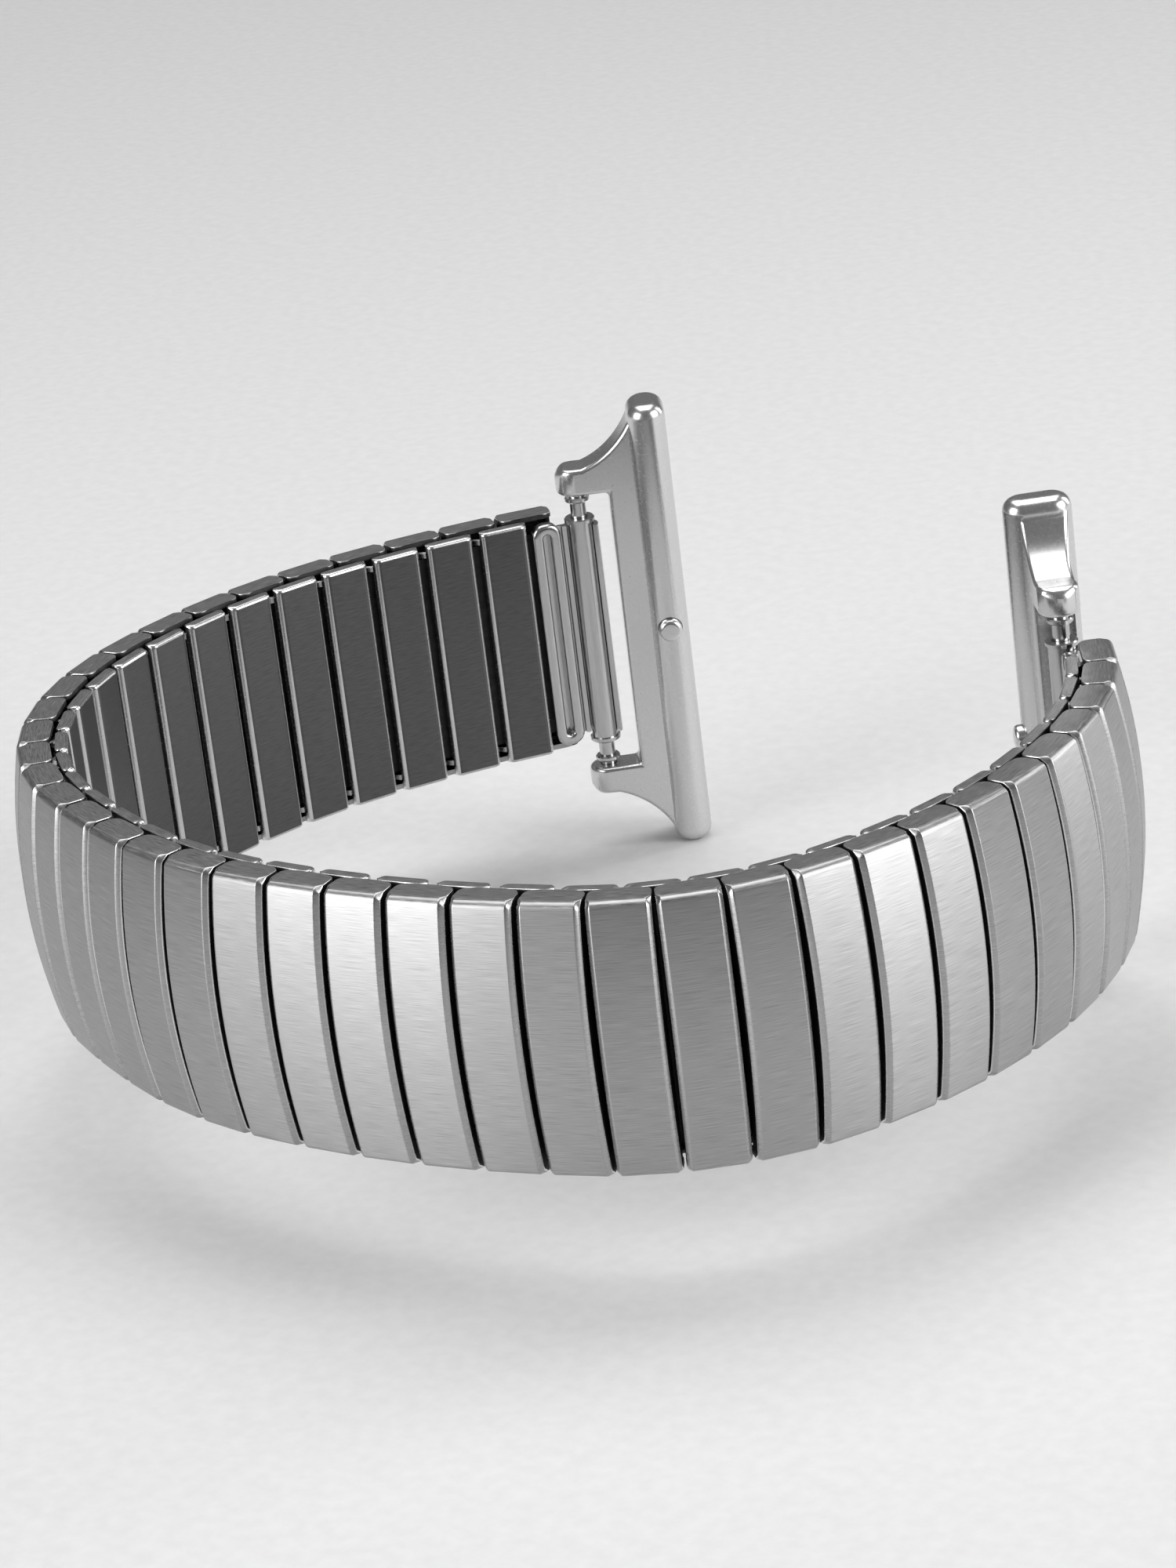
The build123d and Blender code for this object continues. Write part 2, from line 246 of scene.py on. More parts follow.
def extrudedShape(bm, outline, along):
    base = bm.faces.new([bm.verts.new(point) for point in outline])
    verts = pushed(bm, [base], along)
    faces = list({face for vert in verts + list(base.verts) for face in vert.link_faces})
    bmesh.ops.recalc_face_normals(bm, faces=faces)
    return faces


# Spins an outline of (radius, z) points about the z axis
def turnedShape(outline, steps=roundSteps):
    bm = bmesh.new()
    verts = [bm.verts.new((radius, 0, z)) for radius, z in outline]
    edges = [bm.edges.new(pair) for pair in zip(verts, verts[1:])]
    bmesh.ops.spin(bm, geom=verts + edges, cent=(0, 0, 0), axis=(0, 0, 1), angle=math.tau, steps=steps,
                   use_merge=True)
    weld(bm, doubles["turned"])
    bmesh.ops.recalc_face_normals(bm, faces=bm.faces)
    return bm


def rodShape(radius, start, end, steps=roundSteps):
    return turnedShape([(0, start), (radius, start), (radius, end), (0, end)], steps)


def weld(bm, distance):
    bmesh.ops.remove_doubles(bm, verts=bm.verts, dist=distance)


def roundEdges(bm, edges, offset, segments):
    bmesh.ops.bevel(bm, geom=edges, offset=offset, offset_type="OFFSET", segments=segments, profile=0.5,
                    affect="EDGES", material=-1, clamp_overlap=False)


# Adds a loop of edges where a plane across the axis meets the shape
def cutAcross(bm, axis, place):
    normal = Vector((0, 0, 0))
    normal[axis] = 1
    bmesh.ops.bisect_plane(bm, geom=bm.verts[:] + bm.edges[:] + bm.faces[:], plane_co=normal * place,
                           plane_no=normal)


def isAlong(edge, axis):
    run = edge.verts[1].co - edge.verts[0].co
    return abs(run.normalized()[axis]) > square


def lowest(edge):
    return min(vert.co.y for vert in edge.verts)


def highest(edge):
    return max(vert.co.y for vert in edge.verts)


def middleHeight(edge):
    return sum(vert.co.y for vert in edge.verts) / 2


# The edges round the faces that close a shape across the band
def endEdges(bm):
    return [edge for face in bm.faces if abs(face.normal.z) > square for edge in face.edges]


def arcPoints(centre, radius, start, end, steps):
    turns = [math.radians(start + (end - start) * step / steps) for step in range(steps + 1)]
    return [(centre[0] + radius * math.cos(turn), centre[1] + radius * math.sin(turn)) for turn in turns]


# A shallow arc from (half, 0) over (0, rise) to (-half, 0)
def crownPoints(half, rise, steps):
    radius = (half ** 2 + rise ** 2) / (2 * rise)
    across = [half - 2 * half * step / steps for step in range(steps + 1)]
    return [(place, math.sqrt(radius ** 2 - place ** 2) - radius + rise) for place in across]


# Marks the brush map in millimetres: u along the band and v across it, with its own start for each piece
def addBrushMap(bm, seed, stagger=13.7, turnOver=0.7):
    brush = bm.loops.layers.uv.new("brush")
    for face in bm.faces:
        for corner in face.loops:
            place = corner.vert.co
            if abs(face.normal.z) > turnOver:
                corner[brush].uv = (place.x + stagger * seed, place.y)
            elif abs(face.normal.x) > turnOver:
                corner[brush].uv = (place.y + stagger * seed, place.z)
            else:
                corner[brush].uv = (place.x + stagger * seed, place.z)


def finishPiece(name, bm, slots, place, body, seed=0, sharpAngle=35):
    addBrushMap(bm, seed)
    bmesh.ops.transform(bm, matrix=intoFrame @ place, verts=bm.verts)
    mesh = bpy.data.meshes.new(name)
    bm.to_mesh(mesh)
    bm.free()
    if place.determinant() < 0:
        mesh.flip_normals()  # a mirrored piece turns inside out
    for slotName in slots:
        mesh.materials.append(materials[slotName])
    mesh.shade_smooth()
    mesh.set_sharp_from_angle(angle=math.radians(sharpAngle))
    piece = placed(bpy.data.objects.new(name, mesh))
    weighted = piece.modifiers.new("weighted", "WEIGHTED_NORMAL")
    weighted.keep_sharp = True
    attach(piece, body)
    return piece


# Outer link: a crowned cap folded over a sleeve

cap = {
    "length": band["pitch"] - band["gap"], "halfWidth": band["width"] / 2, "depth": 2.05, "rise": 1.0,
    "wall": 0.35, "skirt": 1.0, "hollow": 0.27, "bevel": 0.28, "bevelEnd": 0.7, "soften": 0.06,
    "softenFrom": 20, "endBevel": 0.08, "fold": 0.4, "corner": 0.6, "taper": 0.07, "crownSteps": 16,
    "slots": ["brushed", "polished", "satin", "shaded", "bevel"],
}

# How much of a face's unit normal lies along the band
capTilts = {"straight": 0.01, "flat": 0.1, "side": 0.15, "bevel": (0.3, 0.95), "wide": 0.78}


def capBlock():
    half, wide, depth, skirt = cap["length"] / 2, cap["halfWidth"], cap["depth"], cap["skirt"]
    inside = wide - cap["wall"]
    outline = [(wide, -depth)] + crownPoints(wide, cap["rise"], cap["crownSteps"]) + [(-wide, -depth)]
    outline += [(-inside, -depth), (-inside, -skirt), (inside, -skirt), (inside, -depth)]
    bm = bmesh.new()
    extrudedShape(bm, [(-half, y, z) for z, y in outline], (2 * half, 0, 0))
    return bm


# Rounds the end walls' lower corners and the folds where the crown turns into them
def foldCap(bm):
    wide = cap["halfWidth"]
    corners = [edge for edge in bm.edges if isAlong(edge, acrossBand) and highest(edge) < near - cap["depth"]]
    roundEdges(bm, corners, cap["corner"], 4)
    folds = [edge for edge in bm.edges if isAlong(edge, alongBand)
             and all(abs(vert.co.y) < near and abs(vert.co.z) > wide - near for vert in edge.verts)]
    roundEdges(bm, folds, cap["fold"], 4)
    cutAcross(bm, outwards, -cap["bevelEnd"])
    weld(bm, doubles["bevel"])
    bm.normal_update()


# Whether a face is on the outside of an end wall: "least" is how far it turns outwards
def isOnEndWall(face, least):
    middle = face.calc_center_median()
    return abs(middle.z) > cap["halfWidth"] - cap["wall"] + near and face.normal.z * middle.z > least


def isCapSkin(face):
    return abs(face.normal.x) < capTilts["straight"] and (face.normal.y > leaning or isOnEndWall(face, 1))


def isCapRim(edge, onCrown):
    skins = [face for face in edge.link_faces if isCapSkin(face)]
    sides = [face for face in edge.link_faces if abs(face.normal.x) > capTilts["side"]]
    return len(skins) == 1 and len(sides) == 1 and (skins[0].normal.y > leaning) == onCrown


def isCapBevel(face):
    least, most = capTilts["bevel"]
    return face.normal.y > leaning and least < abs(face.normal.x) < most


# Flat bevels along the crown, small ones down the end walls, and a softened line where they meet
def bevelCap(bm):
    for onCrown, offset, segments in ((True, cap["bevel"], 1), (False, cap["endBevel"], 2)):
        roundEdges(bm, [edge for edge in bm.edges if isCapRim(edge, onCrown)], offset, segments)
        weld(bm, doubles["bevel"])
        bm.normal_update()
    softenFrom = math.radians(cap["softenFrom"])
    softened = [edge for edge in bm.edges if not isAlong(edge, alongBand)
                and sum(isCapBevel(face) for face in edge.link_faces) == 1
                and edge.calc_face_angle(0) > softenFrom]
    roundEdges(bm, softened, cap["soften"], 2)
    bm.normal_update()


def isCapCeiling(face):
    return face.normal.y < -facing and abs(face.calc_center_median().y + cap["skirt"]) < near


# Sinks the room for the sleeve into the underside
def hollowCap(bm):
    under = [face for face in bm.faces if isCapCeiling(face)]
    bmesh.ops.inset_region(bm, faces=under, thickness=cap["wall"])
    clear = cap["length"] / 2 - cap["wall"] / 2
    ceiling = [face for face in bm.faces if isCapCeiling(face)
               and all(abs(vert.co.x) < clear for vert in face.verts)]
    pushed(bm, ceiling, (0, cap["skirt"] - cap["hollow"], 0), sunk=True)
    bmesh.ops.recalc_face_normals(bm, faces=bm.faces)


# Narrows the end walls towards the wrist, so that neighbours clear each other in a bend
def taperCap(bm):
    half = cap["length"] / 2
    for vert in bm.verts:
        if vert.co.y < 0:
            vert.co.x *= 1 + cap["taper"] * vert.co.y / cap["depth"] / half
    bm.normal_update()


def markCap(bm):
    flat, wide = capTilts["flat"], capTilts["wide"]
    for face in bm.faces:
        tilt, rise = abs(face.normal.x), face.normal.y
        if tilt > square or not (rise > leaning or isOnEndWall(face, 0)):
            finish = "shaded"
        elif flat < tilt < wide:
            # chamfers along the crown take the bevel steel, darkened with painted shade
            finish = "bevel" if rise > leaning else "satin"
        elif tilt > flat:
            finish = "polished"
        else:
            finish = "brushed" if rise > facing else "satin"
        face.material_index = cap["slots"].index(finish)


def capShape():
    bm = capBlock()
    foldCap(bm)
    bevelCap(bm)
    hollowCap(bm)
    taperCap(bm)
    markCap(bm)
    return bm


sleeve = {
    "halfLength": 1.46, "halfWidth": cap["halfWidth"] - cap["wall"] - band["bowRoom"],
    "top": 0.3, "bottom": cap["depth"], "wall": 0.15,
}
leaf = {
    "width": 1.8, "thickness": 0.15, "halfLength": 4.4, "steps": 8,
    "outerEndDepth": 1.4, "outerRise": 0.75, "innerSeatGap": 0.05, "innerRise": 0.18,
}


def tubeShape(bm, half, wide, top, bottom, wall):
    outer = boxShape(bm, (-half, -bottom, -wide), (half, -top, wide))
    ends = [face for face in outer if abs(face.normal.z) > facing]
    bmesh.ops.delete(bm, geom=ends, context="FACES_ONLY")
    skin = [face for face in outer if face.is_valid]
    bmesh.ops.solidify(bm, geom=skin, thickness=wall)


# A bowed strip with its ends "endDepth" deep and its middle further out
def leafShape(bm, endDepth, rise):
    low = [(z, y - endDepth) for z, y in crownPoints(leaf["halfLength"], rise, leaf["steps"])]
    high = [(z, y + leaf["thickness"]) for z, y in reversed(low)]
    extrudedShape(bm, [(-leaf["width"] / 2, y, z) for z, y in low + high], (leaf["width"], 0, 0))


def outerSleeveShape():
    bm = bmesh.new()
    tubeShape(bm, sleeve["halfLength"], sleeve["halfWidth"], sleeve["top"], sleeve["bottom"], sleeve["wall"])
    leafShape(bm, leaf["outerEndDepth"], leaf["outerRise"])
    return bm


# Inner link: a flat closed sleeve with windows for the bows' legs, and its leaf spring

inner = {
    "halfLength": 1.65, "halfWidth": cap["halfWidth"] - 0.15, "top": cap["depth"] + band["rowGap"],
    "depth": 0.85, "wall": 0.19, "endWall": 0.3, "windowDepth": 0.45,
    "corner": 0.25, "wristCorner": 0.42, "wristRim": 0.22, "rim": 0.08, "rimAbove": 0.1,
    "windowInset": 0.02, "shadedDepth": 0.1, "slots": ["inner", "polished", "satin", "shaded"],
}

# How much of a face's unit normal lies along an axis
innerTilts = {"end": 0.95, "flat": 0.1, "corner": 0.2, "level": 0.97}


# A box with rounder edges on the wrist side
def innerBlock():
    half, wide, top = inner["halfLength"], inner["halfWidth"], -inner["top"]
    bottom, middle = top - inner["depth"], top - inner["depth"] / 2
    bm = bmesh.new()
    boxShape(bm, (-half, bottom, -wide), (half, top, wide))
    wristEdges = [edge for edge in bm.edges if isAlong(edge, acrossBand) and highest(edge) < bottom + near]
    roundEdges(bm, wristEdges, inner["wristCorner"], 4)
    topEdges = [edge for edge in bm.edges if isAlong(edge, acrossBand) and lowest(edge) > top - near]
    roundEdges(bm, topEdges, inner["corner"], 3)
    bm.normal_update()
    wristRim = [edge for edge in endEdges(bm) if middleHeight(edge) < middle - near]
    roundEdges(bm, wristRim, inner["wristRim"], 3)
    bm.normal_update()
    topRim = [edge for edge in endEdges(bm) if middleHeight(edge) > middle + inner["rimAbove"]]
    roundEdges(bm, topRim, inner["rim"], 2)
    bm.normal_update()
    return bm


# Sinks a window into the flat of the top at each edge of the band
def cutWindows(bm):
    flat = inner["halfLength"] - inner["wristCorner"] - inner["windowInset"]
    start, end = sleeve["halfWidth"], inner["halfWidth"] - inner["endWall"]
    for axis, place in ((acrossBand, start), (acrossBand, end), (alongBand, flat)):
        for side in (-1, 1):
            cutAcross(bm, axis, place * side)
    windows = []
    for face in bm.faces:
        middle = face.calc_center_median()
        if face.normal.y > facing and abs(middle.x) < flat and start < abs(middle.z) < end:
            windows.append(face)
    pushed(bm, windows, (0, -inner["windowDepth"], 0), sunk=True)
    bmesh.ops.recalc_face_normals(bm, faces=bm.faces)


def markInner(bm):
    shadedFrom = -inner["top"] - inner["shadedDepth"]
    for face in bm.faces:
        tiltX, tiltY, tiltZ = [abs(part) for part in face.normal]
        isRounded = tiltX > innerTilts["corner"] and tiltY < innerTilts["level"]
        if tiltZ > innerTilts["end"]:
            finish = "satin"
        elif tiltZ > innerTilts["flat"] or isRounded:
            finish = "polished"
        elif face.normal.y > facing or face.calc_center_median().y > shadedFrom:
            finish = "shaded"
        # The rest, mostly the wrist side, takes the inner steel, darkened with painted shade
        else:
            finish = "inner"
        face.material_index = inner["slots"].index(finish)


def innerSleeveShape():
    bm = innerBlock()
    cutWindows(bm)
    markInner(bm)
    endDepth = inner["top"] + inner["wall"] + leaf["innerSeatGap"] + leaf["thickness"] + leaf["innerRise"]
    leafShape(bm, endDepth, leaf["innerRise"])
    return bm


# Bows: flat staples between an outer and an inner link

bow = {
    "legWidth": 0.4, "legThick": 0.28, "legReach": 2.6, "legClearance": 0.08, "travel": 1.25,
    "strapWidth": 0.5, "strapThick": 0.4, "strapEdge": 0.08, "start": sleeve["halfWidth"] + 0.15,
    "fixedSetback": 0.6, "fixedDepth": 0.8, "slidingDepth": 1.65, "spread": 0.75,
}


def bowShape(bm, outerLeg, innerLeg, side):
    run = innerLeg - outerLeg
    angle = math.degrees(math.atan2(run.y, run.x))
    start, radius = bow["start"], bow["strapWidth"] / 2
    innerRound = arcPoints(innerLeg, radius, angle - 90, angle + 90, 4)
    outerRound = arcPoints(outerLeg, radius, angle + 90, angle + 270, 4)
    outline = [(x, y, start * side) for x, y in innerRound + outerRound]
    faces = extrudedShape(bm, outline, (0, 0, bow["strapThick"] * side))
    outside = [face for face in faces if face.normal.z * side > facing]
    roundEdges(bm, [edge for face in outside for edge in face.edges], bow["strapEdge"], 1)
    for leg in (outerLeg, innerLeg):
        across, thick = bow["legWidth"] / 2, bow["legThick"] / 2
        low, high = sorted((start * side, (start - bow["legReach"]) * side))
        boxShape(bm, (leg.x - across, leg.y - thick, low), (leg.x + across, leg.y + thick, high))


# The four bows of a pitch, as its inner link sees them
def bowsShape(number):
    here = innerPlace(number).inverted()
    slidingPlace = (sleeve["halfLength"] - sleeve["wall"] - bow["legWidth"] / 2 - bow["legClearance"]
                    - bow["travel"])
    fixed = here @ outerPlace(number) @ Vector((-bow["fixedSetback"], -bow["fixedDepth"], 0))
    sliding = here @ outerPlace(number - 1) @ Vector((slidingPlace, -bow["slidingDepth"], 0))
    innerDepth = inner["top"] + inner["depth"] / 2
    bm = bmesh.new()
    for side in (-1, 1):
        bowShape(bm, fixed, Vector((bow["spread"], -innerDepth, 0)), side)
        bowShape(bm, sliding, Vector((-bow["spread"], -innerDepth, 0)), side)
    bmesh.ops.recalc_face_normals(bm, faces=bm.faces)
    return bm


brushSeeds = {"outer": 1, "inner": 50, "bows": 100}


def label(number):
    return f"{number + 1:02d}"


def bodyOf(number, row):
    return f"{row}_link_{label(number)}" if number in flexing else f"link_{label(number)}"


for number in range(band["linkCount"]):
    place, outerBody, seed = outerPlace(number), bodyOf(number, "outer"), number + brushSeeds["outer"]
    capPiece = finishPiece(f"cap_{label(number)}", capShape(), cap["slots"], place, outerBody,
                           seed)
    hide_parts(outerBody)
    finishPiece(f"outerSleeve_{label(number)}", outerSleeveShape(), ["shaded"], place, outerBody,
                seed)
    if number > 0:
        place, innerBody = innerPlace(number), bodyOf(number, "inner")
        innerPiece = finishPiece(f"innerSleeve_{label(number)}", innerSleeveShape(), inner["slots"], place,
                                 innerBody, number + brushSeeds["inner"])
        if number in flexing:
            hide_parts(innerBody)
        finishPiece(f"bows_{label(number)}", bowsShape(number), ["steel"], place, innerBody,
                    number + brushSeeds["bows"])
print("links made")


# A cut leaves its points and faces in any order: this puts them in order of place, the same in each run
def inOrder(mesh):
    places = [tuple(round(part, 4) for part in vert.co) for vert in mesh.vertices]
    ranked = sorted(range(len(places)), key=lambda index: places[index])
    rankOf = {index: rank for rank, index in enumerate(ranked)}
    rings = []
    for face in mesh.polygons:
        ring = [rankOf[index] for index in face.vertices]
        first = ring.index(min(ring))
        rings.append(ring[first:] + ring[:first])
    bm = bmesh.new()
    verts = [bm.verts.new(mesh.vertices[index].co) for index in ranked]
    for ring in sorted(rings):
        bm.faces.new([verts[rank] for rank in ring])
    bm.normal_update()
    return bm


# Joins, crosses or cuts two closed shapes and returns the result as a bmesh
def combined(first, second, operation):
    objects = []
    for shape in (first, second):
        mesh = bpy.data.meshes.new("part")
        shape.to_mesh(mesh)
        shape.free()
        objects.append(placed(bpy.data.objects.new("part", mesh)))
    cut = objects[0].modifiers.new("cut", "BOOLEAN")
    cut.operation = operation
    cut.solver = "EXACT"
    cut.object = objects[1]
    graph = bpy.context.evaluated_depsgraph_get()
    result = inOrder(bpy.data.meshes.new_from_object(objects[0].evaluated_get(graph)))
    for thing in objects:
        bpy.data.objects.remove(thing)
    return result


# End hooks, which hold the spring bars, and the flat loops that stiffen them

hook = {
    "thick": 0.3, "halfWidth": 7.6, "inside": 0.95, "strapStart": 0.2, "wrapStart": -40, "wrapEnd": 165,
    "steps": 20, "coreSteps": 32,
}
loop = {
    "start": 0.05, "strip": 0.75, "slot": 0.5, "depth": 0.8, "halfLength": 8.1, "corner": 0.85,
    "slotCorner": 0.249, "cornerSteps": 5, "edge": 0.25,
}


def hookShape():
    thick, wide, inside, steps = hook["thick"], hook["halfWidth"], hook["inside"], hook["steps"]
    centre = (barPlace, -band["barDepth"])
    wrap = arcPoints(centre, inside + thick, hook["wrapStart"], hook["wrapEnd"], steps)
    wrap += arcPoints(centre, inside, hook["wrapEnd"], hook["wrapStart"], steps)
    ring = bmesh.new()
    extrudedShape(ring, [(x, y, -wide) for x, y in wrap], (0, 0, 2 * wide))
    top = -cap["depth"]
    strap = bmesh.new()
    boxShape(strap, (hook["strapStart"], top - thick, -wide), (barPlace - inside / 2, top, wide))
    core = rodShape(inside, -2 * wide, 2 * wide, hook["coreSteps"])
    bmesh.ops.translate(core, vec=(*centre, 0), verts=core.verts)
    return combined(combined(ring, strap, "UNION"), core, "DIFFERENCE")


# A rounded rectangle of half sizes "wide" and "long", as a loop of points
def roundedOutline(wide, long, radius, steps):
    points = []
    for x, y, start in ((1, 1, 0), (-1, 1, 90), (-1, -1, 180), (1, -1, 270)):
        points += arcPoints((x * (wide - radius), y * (long - radius)), radius, start, start + 90, steps)
    return points


# Two round-edged strips under the last cap, joined at their ends
def loopShape():
    halfSlot, long, steps = loop["slot"] / 2, loop["halfLength"], loop["cornerSteps"]
    width = loop["strip"] + halfSlot
    middle, top = loop["start"] + width, -cap["depth"] - hook["thick"]
    outer = roundedOutline(width, long, loop["corner"], steps)
    slot = roundedOutline(halfSlot, long - loop["strip"], loop["slotCorner"], steps)
    bm = bmesh.new()
    rings = []
    for outline in (outer, slot):
        verts = [bm.verts.new((middle + x, top, z)) for x, z in outline]
        rings += [bm.edges.new(pair) for pair in zip(verts, verts[1:] + verts[:1])]
    bridged = bmesh.ops.bridge_loops(bm, edges=rings)["faces"]
    pushed(bm, bridged, (0, -loop["depth"], 0))
    bmesh.ops.recalc_face_normals(bm, faces=bm.faces)
    rims = [edge for edge in bm.edges if highest(edge) < top - loop["depth"] + near
            and any(abs(face.normal.y) < steep for face in edge.link_faces)]
    roundEdges(bm, rims, loop["edge"], 3)
    return bm


# Spring bars: a tube with a flange at each end, a coil spring inside and two shouldered tips

springBar = {
    "radius": 0.9, "bore": 0.6, "flange": 1.05, "flangeLength": 0.3, "halfLength": 7.9, "tipRadius": 0.55,
    "tipTail": 3.0, "ringRadius": 0.85, "ringLength": 0.35, "ringEnd": 9.7, "tipEnd": 11.0, "edge": 0.08,
    "tubeSteps": 32,
}
coil = {"wire": 0.11, "radius": 0.42, "halfLength": 3.74, "turns": 14, "stepsPerTurn": 10, "sharpAngle": 60}


def springBarShape():
    flange, edge, shoulder = springBar["flange"], springBar["edge"], springBar["halfLength"]
    flangeEnd = shoulder + springBar["flangeLength"]
    end = [
        (springBar["bore"], flangeEnd), (flange - edge, flangeEnd), (flange, flangeEnd - edge),
        (flange, shoulder), (springBar["radius"], shoulder),
    ]
    outline = [(radius, -z) for radius, z in end] + [(radius, z) for radius, z in reversed(end)]
    return turnedShape(outline + outline[:1], springBar["tubeSteps"])


def springTipShape(side):
    radius, ringRadius, edge = springBar["tipRadius"], springBar["ringRadius"], springBar["edge"]
    ringEnd, tipEnd = springBar["ringEnd"], springBar["tipEnd"]
    tail, ringStart = springBar["halfLength"] - springBar["tipTail"], ringEnd - springBar["ringLength"]
    outline = [
        (0, tail), (radius, tail), (radius, ringStart),
        (ringRadius - edge, ringStart), (ringRadius, ringStart + edge),
        (ringRadius, ringEnd - edge), (ringRadius - edge, ringEnd),
        (radius, ringEnd), (radius, tipEnd - 2 * edge), (radius - 2 * edge, tipEnd), (0, tipEnd),
    ]
    return turnedShape([(reach, z * side) for reach, z in outline])


def coilShape(name):
    curve = bpy.data.curves.new(name, "CURVE")
    curve.dimensions = "3D"
    curve.bevel_depth = coil["wire"]
    curve.bevel_resolution = 1
    curve.resolution_u = 2
    spline = curve.splines.new("POLY")
    count = coil["turns"] * coil["stepsPerTurn"]
    spline.points.add(count)
    for index, point in enumerate(spline.points):
        turn = math.tau * index / coil["stepsPerTurn"]
        height = coil["halfLength"] * (2 * index / count - 1)
        point.co = (coil["radius"] * math.cos(turn), coil["radius"] * math.sin(turn), height, 1)
    wire = placed(bpy.data.objects.new(name, curve))
    graph = bpy.context.evaluated_depsgraph_get()
    bm = bmesh.new()
    bm.from_mesh(bpy.data.meshes.new_from_object(wire.evaluated_get(graph)))
    bpy.data.objects.remove(wire)
    weld(bm, doubles["turned"])
    bmesh.ops.holes_fill(bm, edges=bm.edges)
    bmesh.ops.recalc_face_normals(bm, faces=bm.faces)
    return bm


for side, place, holder, hookPlace in (
    ("left", leftPivot, f"link_{label(last)}", outerPlace(last)),
    ("right", rightPivot, f"link_{label(0)}", outerPlace(0) @ mirrored),
):
    finishPiece(f"endHook_{side}", hookShape(), ["steel"], hookPlace, holder)
    finishPiece(f"endLoop_{side}", loopShape(), ["steel"], hookPlace, holder)
    tube = finishPiece(f"springBar_{side}", springBarShape(), ["steel"], place, holder)
    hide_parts(f"spring_bar_{side}")
    coilName = f"springBarCoil_{side}"
    finishPiece(coilName, coilShape(coilName), ["steel"], place, holder,
                sharpAngle=coil["sharpAngle"])
    for level, sign in (("upper", 1), ("lower", -1)):
        body = f"spring_bar_tip_{level}_{side}"
        tip = finishPiece(f"springTip_{level}_{side}", springTipShape(sign), ["steel"], place, body)
        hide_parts(body)
print("spring bars and hooks made")


# Adapters: the pivot is at the origin, the slide bar lies along +X and +Y is outwards

adapter = {
    "earGap": 20.0, "earThick": 1.9, "earRadius": 1.35, "corner": 0.75, "holeRadius": 0.6, "holeDepth": 1.15,
    "earLength": 0.5, "webStart": 2.2, "webEnd": 4.3, "wingSpan": 31.0, "wingSag": 0.75, "outerRise": 0.5,
    "edge": 0.32, "flatAngle": 1, "sharpAngle": 35, "arcSteps": 12, "blockHeight": 10,
    "turns": {"left": 14.0, "right": 5.0},
}
slideBar = {"reach": 5.3, "width": 2.6, "height": 4.4, "length": 32.0, "dome": 0.9, "arcSteps": 12}
button = {"radius": 0.8, "clearance": 0.05, "length": 1.7, "proud": 0.5, "pocket": 1.9, "crown": 0.3}
overrun = 1  # how far a cutting shape stands out of what it cuts


# The circle through three points of the plane, as its centre and radius
def circleThrough(a, b, c):
    divisor = 2 * (a[0] * (b[1] - c[1]) + b[0] * (c[1] - a[1]) + c[0] * (a[1] - b[1]))
    squares = [point[0] ** 2 + point[1] ** 2 for point in (a, b, c)]
    x = (squares[0] * (b[1] - c[1]) + squares[1] * (c[1] - a[1]) + squares[2] * (a[1] - b[1])) / divisor
    y = (squares[0] * (c[0] - b[0]) + squares[1] * (a[0] - c[0]) + squares[2] * (b[0] - a[0])) / divisor
    return (x, y), math.hypot(a[0] - x, a[1] - y)


def arcThrough(a, b, c, steps):
    centre, radius = circleThrough(a, b, c)
    start, end = [math.degrees(math.atan2(point[1] - centre[1], point[0] - centre[0])) for point in (a, c)]
    turn = (end - start + 180) % 360 - 180
    return arcPoints(centre, radius, start, start + turn, steps)


# The adapter seen from outside: ears that sweep out into wings, with the web between them
def adapterPlan():
    webStart, webEnd, corner = adapter["webStart"], adapter["webEnd"], adapter["corner"]
    nose, wing = -adapter["earRadius"], adapter["wingSpan"] / 2
    earIn, earOut = adapter["earGap"] / 2, adapter["earGap"] / 2 + adapter["earThick"]
    sag = ((adapter["earLength"] + webEnd) / 2, (earOut + wing) / 2 - adapter["wingSag"])
    half = [(webStart, earIn), (nose, earIn)]
    half += arcPoints((nose + corner, earOut - corner), corner, 180, 90, 6)
    half += arcThrough((adapter["earLength"], earOut), sag, (webEnd, wing), adapter["arcSteps"])
    whole = half + [(x, -z) for x, z in reversed(half)]
    height = adapter["blockHeight"]
    plan = bmesh.new()
    extrudedShape(plan, [(x, -height / 2, z) for x, z in whole], (0, height, 0))
    return plan


# The adapter seen from its end: a round nose and a hollow sweep up to the slide bar
def adapterProfile():
    radius, webEnd, long = adapter["earRadius"], adapter["webEnd"], slideBar["length"]
    outline = arcPoints((0, 0), radius, 90, 270, 16) + [(webEnd, -radius)]
    top = (webEnd, radius + adapter["outerRise"])
    outline += arcThrough(top, (adapter["webStart"], radius), (0, radius), adapter["arcSteps"])[:-1]
    profile = bmesh.new()
    extrudedShape(profile, [(x, y, -long) for x, y in outline], (0, 0, 2 * long))
    return profile


def slideBarShape():
    radius, long, reach = slideBar["width"] / 2, slideBar["length"] / 2, slideBar["reach"]
    straight, steps = (slideBar["height"] - slideBar["width"]) / 2, slideBar["arcSteps"]
    outline = arcPoints((0, straight), radius, 0, 180, steps)
    outline += arcPoints((0, -straight), radius, 180, 360, steps)
    bm = bmesh.new()
    extrudedShape(bm, [(x + reach, y, -long) for x, y in outline], (0, 0, 2 * long))
    roundEdges(bm, endEdges(bm), slideBar["dome"], 5)
    return bm


# Turns a shape from z to the wrist side and moves it to the middle of the slide bar
def stoodOnBar(bm):
    bmesh.ops.rotate(bm, cent=(0, 0, 0), matrix=Matrix.Rotation(math.pi / 2, 3, "X"), verts=bm.verts)
    bmesh.ops.translate(bm, vec=(slideBar["reach"], 0, 0), verts=bm.verts)
    return bm


